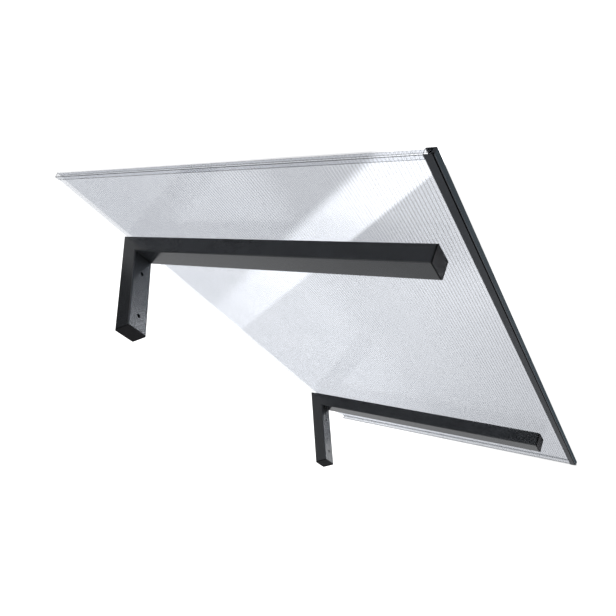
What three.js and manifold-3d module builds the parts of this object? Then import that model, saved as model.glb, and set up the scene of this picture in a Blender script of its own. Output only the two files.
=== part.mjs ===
// Pent door canopy: a clear multiwall polycarbonate sheet with clear edge profiles along
// its sides and a dark aluminium channel along its front edge, carried by two welded
// L-brackets of rectangular tube that are screwed to the wall.
// Millimetres, +Z up. X runs along the wall, +Y points into the wall, the front faces -Y.
// The origin lies on the wall plane, midway between the brackets, at the height where the
// top faces of the sloping arms meet the wall.
import * as THREE from "three";
import { mergeGeometries, mergeVertices } from "three/addons/utils/BufferGeometryUtils.js";
import Module from "manifold-3d";

const wasm = await Module();
wasm.setup();

// ---- driving dimensions -------------------------------------------------------------
const PITCH = THREE.MathUtils.degToRad(25.7); // slope of the roof, falling to the front
const WIDTH = 1500; // overall width along the wall
const BRACKET_X = 498; // bracket centre lines, left and right of the middle
const TUBE_W = 60; // bracket tube, along X
const TUBE_D = 40; // bracket tube, in the plane of the bracket
const TUBE_WALL = 2;
const TUBE_R = 3; // outer corner radius of the tube
const ARM_LEN = 824; // top edge of the arm, wall to front end, cap included
const LEG_LEN = 275; // wall leg, top corner to lower end, cap included
const CAP_T = 3; // flange of the push-in end caps
const CAP_PLUG = 14; // how far a cap's skirt reaches into the tube
const WALL_HOLE_D = 10.5;
const WALL_HOLE_Z = [-114, -234];
const GAP = 0.3; // assembly clearance between neighbours
const TAPE_T = 1.8; // foam bonding tape between arm and sheet
const TAPE_W = 50;
const SHEET_T = 10;
const SHEET_W0 = 2.3; // underside of the sheet above the arms
const SHEET_U0 = 2; // rear edge of the sheet, measured down the slope from the wall
const SHEET_U1 = 884.7; // front edge of the sheet
const SKIN = 0.6;
const RIB = 0.5;
const FLUTES = 126; // one rib every 7 mm
const EDGE_T = 1.7; // clear side profile, web
const EDGE_LIP_T = 1.3;
const EDGE_LIP = 11;
const FRONT_U0 = 872; // front channel, rear edge of its lips
const FRONT_U1 = 890; // front face
const FRONT_LIP_T = 1.4;
const FRONT_WEB = 5;
const DRIP = { u0: 886.0, u1: 888.3, depth: 3.4 }; // drip groove under the front web

// ---- solids --------------------------------------------------------------------------
function toSolid(geometry) {
  const g = geometry.clone();
  for (const name of Object.keys(g.attributes))
    if (name !== "position") g.deleteAttribute(name);
  const merged = mergeVertices(g, 1e-4);
  return new wasm.Manifold(
    new wasm.Mesh({
      numProp: 3,
      vertProperties: new Float32Array(merged.attributes.position.array),
      triVerts: new Uint32Array(merged.index.array),
    }),
  );
}
function toGeometry(solid) {
  const m = solid.getMesh();
  const v = new Float32Array(m.numVert * 3);
  for (let i = 0; i < m.numVert; i++)
    v.set(m.vertProperties.subarray(i * m.numProp, i * m.numProp + 3), i * 3);
  const g = new THREE.BufferGeometry();
  g.setAttribute("position", new THREE.BufferAttribute(v, 3));
  g.setIndex(new THREE.BufferAttribute(new Uint32Array(m.triVerts), 1));
  g.computeVertexNormals();
  return g;
}
const box = (x0, x1, y0, y1, z0, z1) =>
  new THREE.BoxGeometry(x1 - x0, y1 - y0, z1 - z0).translate(
    (x0 + x1) / 2,
    (y0 + y1) / 2,
    (z0 + z1) / 2,
  );
function roundedRect(w, h, r, steps = 5) {
  const s = new THREE.Shape();
  const corners = [
    [w / 2 - r, h / 2 - r, 0],
    [-w / 2 + r, h / 2 - r, 90],
    [-w / 2 + r, -h / 2 + r, 180],
    [w / 2 - r, -h / 2 + r, 270],
  ];
  const pts = [];
  for (const [cx, cy, a0] of corners)
    for (let i = 0; i <= steps; i++) {
      const a = THREE.MathUtils.degToRad(a0 + (90 * i) / steps);
      pts.push(
        new THREE.Vector2(cx + r * Math.cos(a), cy + r * Math.sin(a)),
      );
    }
  s.setFromPoints(pts);
  return s;
}
const polygon = (pts) =>
  new THREE.Shape(pts.map(([x, y]) => new THREE.Vector2(x, y)));
const prism = (shape, depth) =>
  new THREE.ExtrudeGeometry(shape, { depth, bevelEnabled: false, steps: 1 });
// a section drawn as (y, z) and extruded along X from x0 to x1
function alongX(shape, x0, x1) {
  const g = prism(shape, x1 - x0);
  g.applyMatrix4(
    new THREE.Matrix4().makeBasis(
      new THREE.Vector3(0, 1, 0),
      new THREE.Vector3(0, 0, 1),
      new THREE.Vector3(1, 0, 0),
    ),
  );
  return g.translate(x0, 0, 0);
}
// a section drawn as (x, z) and extruded along -Y (down the slope) from u0 to u1
function alongU(shape, u0, u1) {
  const g = prism(shape, u1 - u0);
  g.applyMatrix4(
    new THREE.Matrix4().makeBasis(
      new THREE.Vector3(1, 0, 0),
      new THREE.Vector3(0, 0, 1),
      new THREE.Vector3(0, -1, 0),
    ),
  );
  return g.translate(0, -u0, 0);
}

// ---- materials -----------------------------------------------------------------------
const coat = new THREE.MeshStandardMaterial({
  color: 0x2b2d31,
  roughness: 0.48,
  metalness: 0.3,
});
const anodised = new THREE.MeshStandardMaterial({
  color: 0x2a3036,
  roughness: 0.4,
  metalness: 0.5,
});
const clear = new THREE.MeshStandardMaterial({
  color: 0xdfe4ec,
  roughness: 0.15,
  metalness: 0,
  transparent: true,
  opacity: 0.4,
});
const plastic = new THREE.MeshStandardMaterial({
  color: 0x17181a,
  roughness: 0.6,
  metalness: 0,
});
const rubber = new THREE.MeshStandardMaterial({
  color: 0x1c1c1d,
  roughness: 0.9,
  metalness: 0,
});

const canopy = new THREE.Group();
// roof: local y is minus the distance down the slope, local z is the height above the arms
const roof = new THREE.Group();
roof.rotation.x = PITCH;
canopy.add(roof);
function put(parent, name, geometry, material) {
  const mesh = new THREE.Mesh(geometry, material);
  mesh.name = name;
  parent.add(mesh);
  return mesh;
}

// ---- brackets ------------------------------------------------------------------------
// Side view of a bracket in (y, z): the leg stands on the wall plane, the arm slopes down
// to the front, and the two tubes meet on the mitre that halves the angle between them.
const cosP = Math.cos(PITCH);
const sinP = Math.sin(PITCH);
const mitre = new THREE.Vector2(-cosP, -sinP - 1).normalize(); // down the joint, in (y, z)
// A block that holds everything on one side of the mitre, moved past it by `over`.
function mitreBlock(side, over) {
  const n = new THREE.Vector2(-mitre.y, mitre.x).multiplyScalar(side); // towards the kept side
  const L = 3000;
  const c = new THREE.Vector2().addScaledVector(n, -over);
  const a = c.clone().addScaledVector(mitre, -L);
  const b = c.clone().addScaledVector(mitre, L);
  const pts = [a, b, b.clone().addScaledVector(n, L), a.clone().addScaledVector(n, L)];
  const area = THREE.ShapeUtils.area(pts);
  if (area < 0) pts.reverse();
  return toSolid(alongX(new THREE.Shape(pts), -400, 400));
}
const SLOPE = new THREE.Matrix4().makeRotationX(PITCH);
function tubePair(w, d, r, legEnd, armEnd) {
  // leg: section in (x, y), from the lower end up past the corner
  const leg = prism(roundedRect(w, d, r), 200 - legEnd).translate(
    0,
    -TUBE_D / 2,
    legEnd,
  );
  const arm = alongU(roundedRect(w, d, r), -200, armEnd).translate(
    0,
    0,
    -TUBE_D / 2,
  );
  arm.applyMatrix4(SLOPE);
  const over = 0.05;
  // the leg lies on the wall side of the mitre, the arm on the front side
  const legSolid = toSolid(leg).intersect(mitreBlock(LEG_SIDE, over));
  const armSolid = toSolid(arm).intersect(mitreBlock(-LEG_SIDE, over));
  return legSolid.add(armSolid);
}
// which way the mitre's normal points for the leg: it holds the point low on the wall
const LEG_SIDE =
  new THREE.Vector2(-mitre.y, mitre.x).dot(new THREE.Vector2(0, -1)) > 0
    ? 1
    : -1;
function bracketSolid() {
  const outer = tubePair(
    TUBE_W,
    TUBE_D,
    TUBE_R,
    -LEG_LEN + CAP_T + GAP,
    ARM_LEN - CAP_T - GAP,
  );
  const inner = tubePair(
    TUBE_W - 2 * TUBE_WALL,
    TUBE_D - 2 * TUBE_WALL,
    Math.max(TUBE_R - TUBE_WALL, 0.6),
    -LEG_LEN - 20,
    ARM_LEN + 20,
  );
  let solid = outer.subtract(inner);
  for (const z of WALL_HOLE_Z) {
    const drill = new THREE.CylinderGeometry(
      WALL_HOLE_D / 2,
      WALL_HOLE_D / 2,
      TUBE_D + 20,
      28,
    ).translate(0, -TUBE_D / 2, z);
    solid = solid.subtract(toSolid(drill));
  }
  return solid;
}
const bracketGeometry = toGeometry(bracketSolid());
// push-in cap: a flange of the tube's outline and a hollow skirt inside the tube
function capSolid() {
  const flange = prism(roundedRect(TUBE_W, TUBE_D, TUBE_R), CAP_T);
  const sw = TUBE_W - 2 * TUBE_WALL - 2 * GAP;
  const sd = TUBE_D - 2 * TUBE_WALL - 2 * GAP;
  const skirt = prism(roundedRect(sw, sd, 1), CAP_PLUG + 0.5).translate(
    0,
    0,
    CAP_T - 0.5,
  );
  const hollow = prism(roundedRect(sw - 3.2, sd - 3.2, 0.8), CAP_PLUG + 5).translate(
    0,
    0,
    CAP_T,
  );
  return toSolid(flange).add(toSolid(skirt)).subtract(toSolid(hollow));
}
const capGeometry = toGeometry(capSolid()); // flange face at z 0, skirt towards +z

for (const [side, x] of [
  ["left", -BRACKET_X],
  ["right", BRACKET_X],
]) {
  put(canopy, `bracket_${side}`, bracketGeometry, coat).position.x = x;
  put(canopy, `leg_end_cap_${side}`, capGeometry, plastic).position.set(
    x,
    -TUBE_D / 2,
    -LEG_LEN,
  );
  const armCap = put(roof, `arm_end_cap_${side}`, capGeometry, plastic);
  armCap.rotation.x = -Math.PI / 2; // skirt points up the slope, towards the wall
  armCap.position.set(x, -ARM_LEN, -TUBE_D / 2);
}

// ---- sheet ---------------------------------------------------------------------------
const halfSheet = WIDTH / 2 - EDGE_T - GAP;
const sheetW1 = SHEET_W0 + SHEET_T;
{
  const cell = (SHEET_U1 - SHEET_U0 - RIB * (FLUTES + 1)) / FLUTES;
  const flutes = [];
  for (let i = 0; i < FLUTES; i++) {
    const y0 = -SHEET_U1 + RIB + i * (cell + RIB);
    flutes.push(
      box(
        -halfSheet - 5,
        halfSheet + 5,
        y0,
        y0 + cell,
        SHEET_W0 + SKIN,
        sheetW1 - SKIN,
      ),
    );
  }
  const sheet = toSolid(
    box(-halfSheet, halfSheet, -SHEET_U1, -SHEET_U0, SHEET_W0, sheetW1),
  ).subtract(toSolid(mergeGeometries(flutes)));
  put(roof, "roof_sheet", toGeometry(sheet), clear);
}

// ---- clear side profiles -------------------------------------------------------------
{
  const w0 = SHEET_W0 - GAP - EDGE_LIP_T;
  const w1 = sheetW1 + GAP + EDGE_LIP_T;
  const xo = WIDTH / 2;
  const right = polygon([
    [xo, w0],
    [xo, w1],
    [xo - EDGE_LIP, w1],
    [xo - EDGE_LIP, w1 - EDGE_LIP_T],
    [xo - EDGE_T, w1 - EDGE_LIP_T],
    [xo - EDGE_T, w0 + EDGE_LIP_T],
    [xo - EDGE_LIP, w0 + EDGE_LIP_T],
    [xo - EDGE_LIP, w0],
  ]);
  const left = polygon(
    right
      .getPoints()
      .map((p) => [-p.x, p.y])
      .reverse(),
  );
  put(roof, "side_profile_right", alongU(right, SHEET_U0, FRONT_U0 - GAP), clear);
  put(roof, "side_profile_left", alongU(left, SHEET_U0, FRONT_U0 - GAP), clear);
}

// ---- front channel -------------------------------------------------------------------
{
  const w0 = SHEET_W0 - GAP - FRONT_LIP_T;
  const w1 = sheetW1 + GAP + FRONT_LIP_T;
  const f = -FRONT_U1;
  const section = polygon([
    [f, w0 + 0.5],
    [f + 0.5, w0],
    [-DRIP.u1, w0],
    [-DRIP.u1, w0 + DRIP.depth],
    [-DRIP.u0, w0 + DRIP.depth],
    [-DRIP.u0, w0],
    [-FRONT_U0, w0],
    [-FRONT_U0, w0 + FRONT_LIP_T],
    [f + FRONT_WEB, w0 + FRONT_LIP_T],
    [f + FRONT_WEB, w1 - FRONT_LIP_T],
    [-FRONT_U0, w1 - FRONT_LIP_T],
    [-FRONT_U0, w1],
    [f + 0.5, w1],
    [f, w1 - 0.5],
  ]);
  put(
    roof,
    "front_channel",
    alongX(section, -WIDTH / 2, WIDTH / 2),
    anodised,
  );
}

// ---- bonding tapes -------------------------------------------------------------------
// one strip on each arm's top face carries the sheet; nothing passes through the sheet
for (const [side, x] of [
  ["left", -BRACKET_X],
  ["right", BRACKET_X],
]) {
  const w0 = (SHEET_W0 - TAPE_T) / 2;
  put(
    roof,
    `bonding_tape_${side}`,
    box(x - TAPE_W / 2, x + TAPE_W / 2, -ARM_LEN + 6, -18, w0, w0 + TAPE_T),
    rubber,
  );
}

export default canopy;
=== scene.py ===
import math
import bpy
from mathutils import Matrix, Vector

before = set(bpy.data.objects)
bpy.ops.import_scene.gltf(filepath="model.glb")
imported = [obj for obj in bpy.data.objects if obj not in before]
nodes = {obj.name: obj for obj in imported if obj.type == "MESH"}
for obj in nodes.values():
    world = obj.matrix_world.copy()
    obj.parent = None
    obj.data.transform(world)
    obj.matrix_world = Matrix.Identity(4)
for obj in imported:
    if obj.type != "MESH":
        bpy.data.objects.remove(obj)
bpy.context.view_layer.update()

scene = bpy.context.scene

PITCH = math.radians(25.7)
SLOPE = Vector((0, -math.cos(PITCH), -math.sin(PITCH)))  # down the roof
RIB_PITCH = 0.8822 / 126  # ribs of the sheet, counted down the roof
RIB_START = 0.00225


# ---- camera ---------------------------------------------------------------------------
PX = 616.0
FOCAL = 639.63
EYE = Vector((-1.41807, -0.90315, -1.08224))
RIGHT = Vector((0.463307, -0.884195, -0.059549))
DOWN = Vector((0.404487, 0.270777, -0.873539))
AHEAD = Vector((0.788503, 0.38063, 0.483098))
cam_data = bpy.data.cameras.new("camera")
cam_data.sensor_fit = "HORIZONTAL"
cam_data.sensor_width = 36.0
cam_data.lens = 36.0 * FOCAL / PX
cam_data.shift_x = 0.0
cam_data.shift_y = 67.0 / PX
cam_data.clip_start = 0.02
cam_data.clip_end = 100.0
cam = bpy.data.objects.new("camera", cam_data)
scene.collection.objects.link(cam)
pose = Matrix((RIGHT, -DOWN, -AHEAD)).transposed().to_4x4()
pose.translation = EYE
cam.matrix_world = pose
scene.camera = cam


# ---- node helpers ---------------------------------------------------------------------
class Mat:
    def __init__(self, name):
        self.mat = bpy.data.materials.new(name)
        self.mat.use_nodes = True
        self.nt = self.mat.node_tree
        self.nt.nodes.clear()
        self.out = self.nt.nodes.new("ShaderNodeOutputMaterial")
        self.coord = self.nt.nodes.new("ShaderNodeTexCoord")

    def node(self, kind, **props):
        n = self.nt.nodes.new(kind)
        for k, v in props.items():
            setattr(n, k, v)
        return n

    def link(self, a, b):
        self.nt.links.new(a, b)

    def mapped(self, scale=(1, 1, 1), rot=(0, 0, 0)):
        m = self.node("ShaderNodeMapping")
        m.inputs["Scale"].default_value = scale
        m.inputs["Rotation"].default_value = rot
        self.link(self.coord.outputs["Object"], m.inputs["Vector"])
        return m.outputs["Vector"]

    def noise(self, scale, detail=4.0, rough=0.55, vector=None, distortion=0.0):
        n = self.node("ShaderNodeTexNoise")
        n.inputs["Scale"].default_value = scale
        n.inputs["Detail"].default_value = detail
        n.inputs["Roughness"].default_value = rough
        n.inputs["Distortion"].default_value = distortion
        self.link(vector or self.coord.outputs["Object"], n.inputs["Vector"])
        return n.outputs["Fac"]

    def ramp(self, fac, stops):
        r = self.node("ShaderNodeValToRGB")
        e = r.color_ramp.elements
        while len(e) < len(stops):
            e.new(0.5)
        for el, (pos, col) in zip(e, stops):
            el.position = pos
            el.color = (*col, 1.0) if len(col) == 3 else col
        self.link(fac, r.inputs["Fac"])
        return r.outputs["Color"]

    def span(self, fac, lo, hi, f0=0.0, f1=1.0):
        r = self.node("ShaderNodeMapRange")
        r.inputs["From Min"].default_value = f0
        r.inputs["From Max"].default_value = f1
        r.inputs["To Min"].default_value = lo
        r.inputs["To Max"].default_value = hi
        self.link(fac, r.inputs["Value"])
        return r.outputs["Result"]

    def math(self, op, a, b=None, c=None):
        n = self.node("ShaderNodeMath", operation=op)
        for i, v in enumerate((a, b, c)):
            if v is None:
                continue
            if isinstance(v, (int, float)):
                n.inputs[i].default_value = v
            else:
                self.link(v, n.inputs[i])
        return n.outputs["Value"]

    def bump(self, height, strength, distance, normal=None):
        b = self.node("ShaderNodeBump")
        b.inputs["Strength"].default_value = strength
        b.inputs["Distance"].default_value = distance
        self.link(height, b.inputs["Height"])
        if normal is not None:
            self.link(normal, b.inputs["Normal"])
        return b.outputs["Normal"]

    def principled(self, **values):
        p = self.node("ShaderNodeBsdfPrincipled")
        for k, v in values.items():
            p.inputs[k.replace("_", " ")].default_value = v
        return p

    def finish(self, shader):
        self.link(shader, self.out.inputs["Surface"])
        return self.mat


# ---- materials ------------------------------------------------------------------------
def powder_coat(name, dark, light, rough=(0.16, 0.24), grain=0.000035, spec=0.5):
    """Satin anthracite powder coat: orange peel, fine speckle, faint cloudiness."""
    m = Mat(name)
    peel = m.noise(420.0, 3.0, 0.5)
    speck = m.noise(1900.0, 2.0, 0.6)
    cloud = m.noise(7.0, 5.0, 0.6)
    p = m.principled(Metallic=0.0, IOR=1.5)
    p.inputs["Specular IOR Level"].default_value = spec
    tone = m.math("ADD", m.math("MULTIPLY", cloud, 0.6), m.math("MULTIPLY", speck, 0.4))
    m.link(m.ramp(tone, [(0.32, dark), (0.68, light)]), p.inputs["Base Color"])
    m.link(m.span(cloud, rough[0], rough[1], 0.3, 0.7), p.inputs["Roughness"])
    n = m.bump(peel, 0.35, grain)
    n = m.bump(speck, 0.25, grain * 0.4, n)
    m.link(n, p.inputs["Normal"])
    return m.finish(p.outputs["BSDF"])


def coated_channel(name, dark, light, rough, spec):
    """Coated extrusion: very fine lines along its length and a satin or matt sheen."""
    m = Mat(name)
    lines = m.noise(1.0, 3.0, 0.6, m.mapped((1.2, 900.0, 900.0)))
    cloud = m.noise(5.0, 4.0, 0.6)
    p = m.principled(Metallic=0.0, IOR=1.5)
    p.inputs["Specular IOR Level"].default_value = spec
    m.link(
        m.ramp(cloud, [(0.35, dark), (0.65, light)]),
        p.inputs["Base Color"],
    )
    m.link(m.span(lines, rough[0], rough[1], 0.3, 0.7), p.inputs["Roughness"])
    m.link(m.bump(lines, 0.2, 0.00005), p.inputs["Normal"])
    return m.finish(p.outputs["BSDF"])


def moulded(name):
    """Black moulded plastic with a spark-eroded grain."""
    m = Mat(name)
    grain = m.noise(1300.0, 2.0, 0.6)
    cloud = m.noise(30.0, 4.0, 0.6)
    p = m.principled(IOR=1.5)
    p.inputs["Specular IOR Level"].default_value = 0.05
    m.link(
        m.ramp(cloud, [(0.35, (0.006, 0.006, 0.0066)), (0.7, (0.011, 0.011, 0.012))]),
        p.inputs["Base Color"],
    )
    m.link(m.span(cloud, 0.50, 0.66, 0.3, 0.7), p.inputs["Roughness"])
    m.link(m.bump(grain, 0.4, 0.00012), p.inputs["Normal"])
    return m.finish(p.outputs["BSDF"])


def painted_shade_inside(name):
    """Near-black painted shade for recesses: the inside of the bracket tube and the drip groove."""
    m = Mat(name)
    scale = m.noise(220.0, 4.0, 0.6)
    p = m.principled(IOR=1.5)
    p.inputs["Specular IOR Level"].default_value = 0.02
    m.link(m.ramp(scale, [(0.3, (0.0012, 0.0012, 0.0013)), (0.7, (0.003, 0.0028, 0.0027))]), p.inputs["Base Color"])
    m.link(m.span(scale, 0.7, 0.9, 0.3, 0.7), p.inputs["Roughness"])
    m.link(m.bump(scale, 0.3, 0.0001), p.inputs["Normal"])
    return m.finish(p.outputs["BSDF"])


def foam(name):
    """Matt black closed-cell foam tape."""
    m = Mat(name)
    grain = m.noise(900.0, 3.0, 0.6)
    cloud = m.noise(40.0, 4.0, 0.6)
    p = m.principled(IOR=1.5)
    p.inputs["Specular IOR Level"].default_value = 0.25
    m.link(
        m.ramp(cloud, [(0.3, (0.010, 0.010, 0.010)), (0.75, (0.022, 0.022, 0.023))]),
        p.inputs["Base Color"],
    )
    m.link(m.span(cloud, 0.75, 0.92, 0.3, 0.7), p.inputs["Roughness"])
    m.link(m.bump(grain, 0.4, 0.00015), p.inputs["Normal"])
    return m.finish(p.outputs["BSDF"])


def clear_plastic(name, low, high, gloss_rough=(0.10, 0.14), f0=0.03, f1=0.13, seam=None, square_on=1.0):
    """Clear polycarbonate wall: tinted see-through film, clearest square on, with a gloss that grows towards grazing."""
    m = Mat(name)
    facing = m.node("ShaderNodeLayerWeight")
    facing.inputs["Blend"].default_value = 0.5
    tilt = facing.outputs["Facing"]
    cloud = m.noise(3.0, 5.0, 0.6)
    draw = m.noise(1.0, 4.0, 0.6, m.mapped((0.6, 260.0, 260.0)))
    see = m.node("ShaderNodeBsdfTransparent")
    mix = m.math("ADD", m.math("MULTIPLY", cloud, 0.5), m.math("MULTIPLY", draw, 0.5))
    tint = m.ramp(mix, [(0.35, low), (0.65, high)])
    if seam:
        # a duller line on the skin wherever a rib joins it
        down = m.node("ShaderNodeVectorMath", operation="DOT_PRODUCT")
        m.link(m.coord.outputs["Object"], down.inputs[0])
        down.inputs[1].default_value = tuple(SLOPE)
        step = m.math("MULTIPLY_ADD", down.outputs["Value"], 1.0 / RIB_PITCH, -RIB_START / RIB_PITCH)
        off = m.math("PINGPONG", step, 0.5)
        dull = m.span(off, seam[1], 1.0, 0.6 * seam[0] / RIB_PITCH, 1.4 * seam[0] / RIB_PITCH)
        dull = m.math("POWER", dull, m.span(tilt, 0.5, 1.0, 0.20, 0.46))
        dull = m.math("MULTIPLY", dull, m.span(tilt, square_on, 1.0, 0.20, 0.46))
        lined = m.node("ShaderNodeVectorMath", operation="SCALE")
        m.link(tint, lined.inputs[0])
        m.link(dull, lined.inputs["Scale"])
        tint = lined.outputs["Vector"]
    m.link(tint, see.inputs["Color"])
    gloss = m.node("ShaderNodeBsdfGlossy")
    gloss.inputs["Color"].default_value = (1.0, 1.0, 1.0, 1.0)
    m.link(m.span(cloud, gloss_rough[0], gloss_rough[1], 0.3, 0.7), gloss.inputs["Roughness"])
    m.link(m.bump(draw, 0.06, 0.0001), gloss.inputs["Normal"])
    rise = m.math("POWER", tilt, 5.0)
    share = m.math("MULTIPLY_ADD", rise, f1 - f0, f0)
    film = m.node("ShaderNodeMixShader")
    m.link(share, film.inputs["Fac"])
    m.link(see.outputs["BSDF"], film.inputs[1])
    m.link(gloss.outputs["BSDF"], film.inputs[2])
    top = film.outputs["Shader"]
    return m.finish(top)


coat = powder_coat("anthracite_powder_coat", (0.0165, 0.0182, 0.0205), (0.0255, 0.0278, 0.0308))
channel = coated_channel("anthracite_channel", (0.028, 0.031, 0.036), (0.036, 0.040, 0.046), (0.30, 0.42), 0.15)
# a darker, matt copy of the channel coat for its front face: painted shade
channel_front_painted_shade = coated_channel("anthracite_channel_front", (0.005, 0.0075, 0.0095), (0.008, 0.0115, 0.014), (0.45, 0.60), 0.01)
cap = moulded("black_moulded_plastic")
tape = foam("black_foam_tape")
# near-black colour for recesses: painted shade
inside = painted_shade_inside("painted_shade_recess")
sheet_mat = clear_plastic("clear_multiwall_sheet", (0.882, 0.889, 0.903), (0.897, 0.903, 0.916), f0=0.018, f1=0.10, seam=(0.0005, 0.76), square_on=1.065)
rib_mat = clear_plastic("clear_multiwall_rib", (0.980, 0.982, 0.985), (0.990, 0.991, 0.993), f0=0.015, f1=0.1)
edge_mat = clear_plastic("clear_edge_profile", (0.885, 0.89, 0.90), (0.91, 0.915, 0.925), f0=0.05, f1=0.7)
line_mat = clear_plastic("clear_edge_corner", (0.40, 0.405, 0.41), (0.54, 0.545, 0.55), f0=0.04, f1=0.3)


def dress(name, mat, angle=35.0, bevel=None, corner=None):
    ob = nodes[name]
    me = ob.data
    me.materials.clear()
    me.materials.append(mat)
    if corner:
        me.materials.append(corner)
    for poly in me.polygons:
        poly.use_smooth = angle > 0
    if angle > 0:
        me.set_sharp_from_angle(angle=math.radians(angle))
    if bevel:
        weld = ob.modifiers.new("weld", "WELD")
        weld.merge_threshold = 0.00001
        b = ob.modifiers.new("edge", "BEVEL")
        b.width = bevel
        b.segments = 1
        b.limit_method = "ANGLE"
        b.angle_limit = math.radians(40.0)
        if corner:
            b.material = 1


for name in nodes:
    if name.startswith("bracket"):
        dress(name, coat, 30.0)
    elif "end_cap" in name:
        dress(name, cap, 30.0)
    elif name == "roof_sheet":
        dress(name, sheet_mat, 0.0)
    elif name.startswith("side_profile"):
        # seen end on, the corners of the clear profile show as fine grey lines
        dress(name, edge_mat, 0.0, bevel=0.0009, corner=line_mat)
    elif name == "front_channel":
        dress(name, channel, 0.0)
    else:
        dress(name, tape, 0.0)

# the channel's front face gets a darker, matt copy of its coat, which is painted shade, and its drip groove is painted
# near black as shade
rail = nodes["front_channel"].data
rail.materials.append(channel_front_painted_shade)
rail.materials.append(inside)
UP = Vector((0, -math.sin(PITCH), math.cos(PITCH)))  # square to the roof
under = min(v.co.dot(UP) for v in rail.vertices)
for poly in rail.polygons:
    down, rise_up = poly.center.dot(SLOPE), poly.center.dot(UP) - under
    if 0.8855 < down < 0.8886 and 0.0002 < rise_up < 0.0036:
        # drip groove: near-black painted shade in the recess
        poly.material_index = 2  # drip groove
    elif abs(poly.normal.dot(SLOPE)) > 0.95:
        # front face: the darker copy of the channel coat, painted shade
        poly.material_index = 1

# inner walls of the legs, seen through the screw holes, painted near black as shade
for name, cx in (("bracket_left", -0.498), ("bracket_right", 0.498)):
    tube = nodes[name].data
    tube.materials.append(inside)
    for poly in tube.polygons:
        c = poly.center
        if abs(c.x - cx) < 0.0282 and -0.0382 < c.y < -0.0018 and c.z < -0.06:
            # near-black painted shade on the inner walls
            poly.material_index = 1

# the ribs between the skins, whose faces look up and down the slope, are a little duller
sheet = nodes["roof_sheet"].data
sheet.materials.append(rib_mat)
sheet.materials.append(line_mat)
for poly in sheet.polygons:
    if abs(poly.normal.dot(SLOPE)) > 0.95:
        poly.material_index = 1
    elif abs(poly.normal.x) > 0.95:
        poly.material_index = 2  # sawn ends of skins and ribs

# ---- stage ----------------------------------------------------------------------------
FLOOR_Z = -2.25
me = bpy.data.meshes.new("floor")
S = 9.0
me.from_pydata([(-S, -S, FLOOR_Z), (S, -S, FLOOR_Z), (S, S, FLOOR_Z), (-S, S, FLOOR_Z)], [], [(0, 1, 2, 3)])
floor = bpy.data.objects.new("floor", me)
scene.collection.objects.link(floor)
fm = Mat("pale_floor")
fp = fm.principled(IOR=1.45)
fp.inputs["Specular IOR Level"].default_value = 0.2
fm.link(fm.ramp(fm.noise(0.6, 4.0, 0.6), [(0.3, (0.85, 0.85, 0.85)), (0.7, (0.88, 0.88, 0.88))]), fp.inputs["Base Color"])
fm.link(fm.span(fm.noise(3.0, 3.0, 0.6), 0.75, 0.85, 0.3, 0.7), fp.inputs["Roughness"])
# the floor fades into the backdrop like a studio sweep
away = fm.node("ShaderNodeVectorMath", operation="LENGTH")
fm.link(fm.mapped((1.0, 1.0, 0.0)), away.inputs[0])
gone = fm.node("ShaderNodeBsdfTransparent")
sweep = fm.node("ShaderNodeMixShader")
reach = fm.node("ShaderNodeMapRange", interpolation_type="SMOOTHSTEP")
reach.inputs["From Min"].default_value = 3.6
reach.inputs["From Max"].default_value = S - 0.2
fm.link(away.outputs["Value"], reach.inputs["Value"])
fm.link(reach.outputs["Result"], sweep.inputs["Fac"])
fm.link(fp.outputs["BSDF"], sweep.inputs[1])
fm.link(gone.outputs["BSDF"], sweep.inputs[2])
me.materials.append(fm.finish(sweep.outputs["Shader"]))

# ---- light ----------------------------------------------------------------------------
world = bpy.data.worlds.new("studio")
scene.world = world
world.use_nodes = True
wt = world.node_tree
wt.nodes.clear()
wo = wt.nodes.new("ShaderNodeOutputWorld")
seen = wt.nodes.new("ShaderNodeBackground")
seen.inputs["Color"].default_value = (1.0, 1.0, 1.0, 1.0)
seen.inputs["Strength"].default_value = 1.0
fill = wt.nodes.new("ShaderNodeBackground")
fill.inputs["Color"].default_value = (0.97, 0.98, 1.0, 1.0)
# the surroundings are brighter behind the right-hand end, which the sheet mirrors
wc = wt.nodes.new("ShaderNodeTexCoord")
wd = wt.nodes.new("ShaderNodeVectorMath")
wd.operation = "DOT_PRODUCT"
wd.inputs[1].default_value = (0.616, 0.788, 0.0)
wt.links.new(wc.outputs["Generated"], wd.inputs[0])
ws = wt.nodes.new("ShaderNodeSeparateXYZ")
wt.links.new(wc.outputs["Generated"], ws.inputs["Vector"])


def rise(value, lo, hi, out0=0.0, out1=1.0):
    r = wt.nodes.new("ShaderNodeMapRange")
    r.interpolation_type = "SMOOTHSTEP"
    for key, v in (("From Min", lo), ("From Max", hi), ("To Min", out0), ("To Max", out1)):
        r.inputs[key].default_value = v
    wt.links.new(value, r.inputs["Value"])
    return r.outputs["Result"]


wx = wt.nodes.new("ShaderNodeMath")
wx.operation = "MULTIPLY"
wt.links.new(rise(wd.outputs["Value"], 0.86, 0.97), wx.inputs[0])
wt.links.new(rise(ws.outputs["Z"], -0.175, -0.115), wx.inputs[1])
wt.links.new(rise(wx.outputs["Value"], 0.0, 1.0, 0.62, 0.82), fill.inputs["Strength"])


# The backdrop is over-white, so the lamps on it show only through the sheet: a long strip,
# a window-shaped patch and a broad glow low down. Each is held by edges, given as two
# points in the picture with how soft the edge is, all in pixels.
def towards(x, y):
    return (RIGHT * (x - 308.0) + DOWN * (y - 375.0) + AHEAD * FOCAL).normalized()


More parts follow.
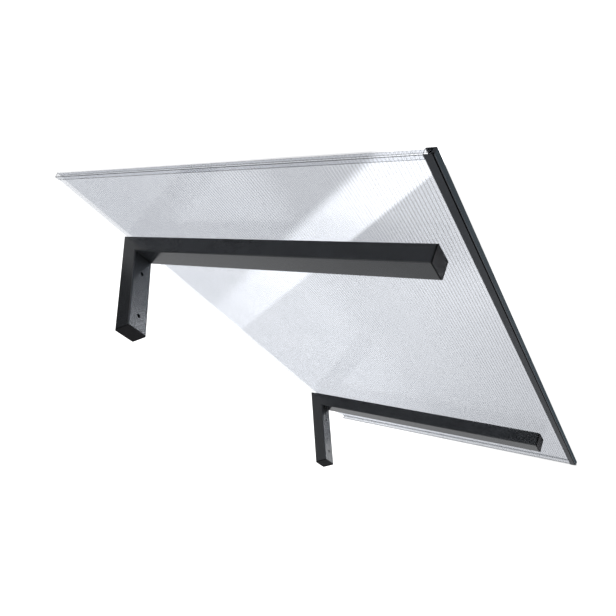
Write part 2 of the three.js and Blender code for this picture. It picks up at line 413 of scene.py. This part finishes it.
def lamp(inside, edges, power):
    total = None
    for a, b, soft in edges:
        n = towards(*a).cross(towards(*b)).normalized()
        if n.dot(towards(*inside)) < 0:
            n = -n
        dot = wt.nodes.new("ShaderNodeVectorMath")
        dot.operation = "DOT_PRODUCT"
        dot.inputs[1].default_value = tuple(n)
        wt.links.new(wc.outputs["Generated"], dot.inputs[0])
        part = rise(dot.outputs["Value"], -0.5 * soft / FOCAL, 0.5 * soft / FOCAL, 0.0, 1.0 if total else power)
        if total is None:
            total = part
        else:
            both = wt.nodes.new("ShaderNodeMath")
            both.operation = "MULTIPLY"
            wt.links.new(total, both.inputs[0])
            wt.links.new(part, both.inputs[1])
            total = both.outputs["Value"]
    return total


glow = None
for part in (
    lamp((300, 240), [((368, 163), (207, 313), 14), ((429, 177), (248, 324), 5), ((190, 202), (338, 372), 330)], 0.92),
    lamp((230, 200), [((192, 172), (168, 222), 14), ((262, 172), (292, 222), 26), ((150, 171), (300, 171), 12), ((150, 221), (300, 221), 8)], 0.07),
    lamp((120, 200), [((262, 172), (292, 222), 60)], 0.15),
    lamp((280, 340), [((500, 300), (450, 420), 190), ((130, 246), (440, 268), 40)], 0.34),
):
    more = wt.nodes.new("ShaderNodeMath")
    more.operation = "ADD"
    more.inputs[0].default_value = 1.015
    if glow is not None:
        wt.links.new(glow, more.inputs[0])
    wt.links.new(part, more.inputs[1])
    glow = more.outputs["Value"]
wt.links.new(glow, seen.inputs["Strength"])
path = wt.nodes.new("ShaderNodeLightPath")
wm = wt.nodes.new("ShaderNodeMixShader")
wt.links.new(path.outputs["Is Camera Ray"], wm.inputs["Fac"])
wt.links.new(fill.outputs["Background"], wm.inputs[1])
wt.links.new(seen.outputs["Background"], wm.inputs[2])
wt.links.new(wm.outputs["Shader"], wo.inputs["Surface"])


def softbox(name, corner, along, across, power, colour=(1, 1, 1), spread=180.0):
    """Area light spanning a parallelogram's rectangle: centre, half-axes as vectors; it shines along across x along."""
    ld = bpy.data.lights.new(name, "AREA")
    ld.shape = "RECTANGLE"
    ld.size = along.length
    ld.size_y = across.length
    ld.energy = power
    ld.color = colour
    ld.spread = math.radians(spread)
    ob = bpy.data.objects.new(name, ld)
    scene.collection.objects.link(ob)
    x = along.normalized()
    y = (across - across.dot(x) * x).normalized()
    z = x.cross(y)
    m = Matrix((x, y, z)).transposed().to_4x4()
    m.translation = corner
    ob.matrix_world = m
    ob.visible_camera = False
    return ob


def aimed(name, at, target, size, size_y, power, colour=(1, 1, 1), spread=180.0):
    at, target = Vector(at), Vector(target)
    z = (at - target).normalized()
    x = Vector((0, 0, 1)).cross(z).normalized()
    y = z.cross(x)
    return softbox(name, at, x * size, y * size_y, power, colour, spread)


# key from the front, below the roof: lights the undersides and the fronts of the legs
key = aimed("key", (0.9, -3.3, -0.6), (0.0, -0.3, -0.2), 2.4, 1.6, 85.0, spread=75.0)
key.visible_glossy = False  # its mirror image would show in every rib of the sheet
# a weak wide box, front right, that the fronts of the legs mirror
aimed("leg_sheen", (2.15, -2.0, 1.16), (0.0, 0.0, -0.15), 2.1, 1.4, 33.0)
# soft top light for the roof and for the views from above
top = aimed("top", (0.0, -1.0, 3.2), (0.0, -0.4, -0.1), 4.0, 4.0, 75.0)
top.visible_glossy = False  # so that the sheet stays clear from above


# a dark flag behind the wall line: the outer face of the near leg mirrors it
fm2 = bpy.data.meshes.new("flag")
fm2.from_pydata([(-1.15, 0.3, -0.15), (-0.62, 0.3, -0.15), (-0.62, 0.3, 0.24), (-1.15, 0.3, 0.24)], [], [(0, 1, 2, 3)])
flag = bpy.data.objects.new("flag", fm2)
scene.collection.objects.link(flag)
bm = Mat("black_flag")
bp = bm.principled(Roughness=0.9)
bm.link(bm.ramp(bm.noise(4.0), [(0.3, (0.02, 0.02, 0.02)), (0.7, (0.03, 0.03, 0.03))]), bp.inputs["Base Color"])
fm2.materials.append(bm.finish(bp.outputs["BSDF"]))
flag.visible_camera = False
flag.visible_shadow = False
flag.visible_diffuse = False

scene.view_settings.view_transform = "Standard"
scene.view_settings.look = "None"
scene.view_settings.exposure = 0.0
scene.view_settings.gamma = 1.0
scene.cycles.transparent_max_bounces = 256  # edge on, a ray crosses many ribs
scene.cycles.max_bounces = 12
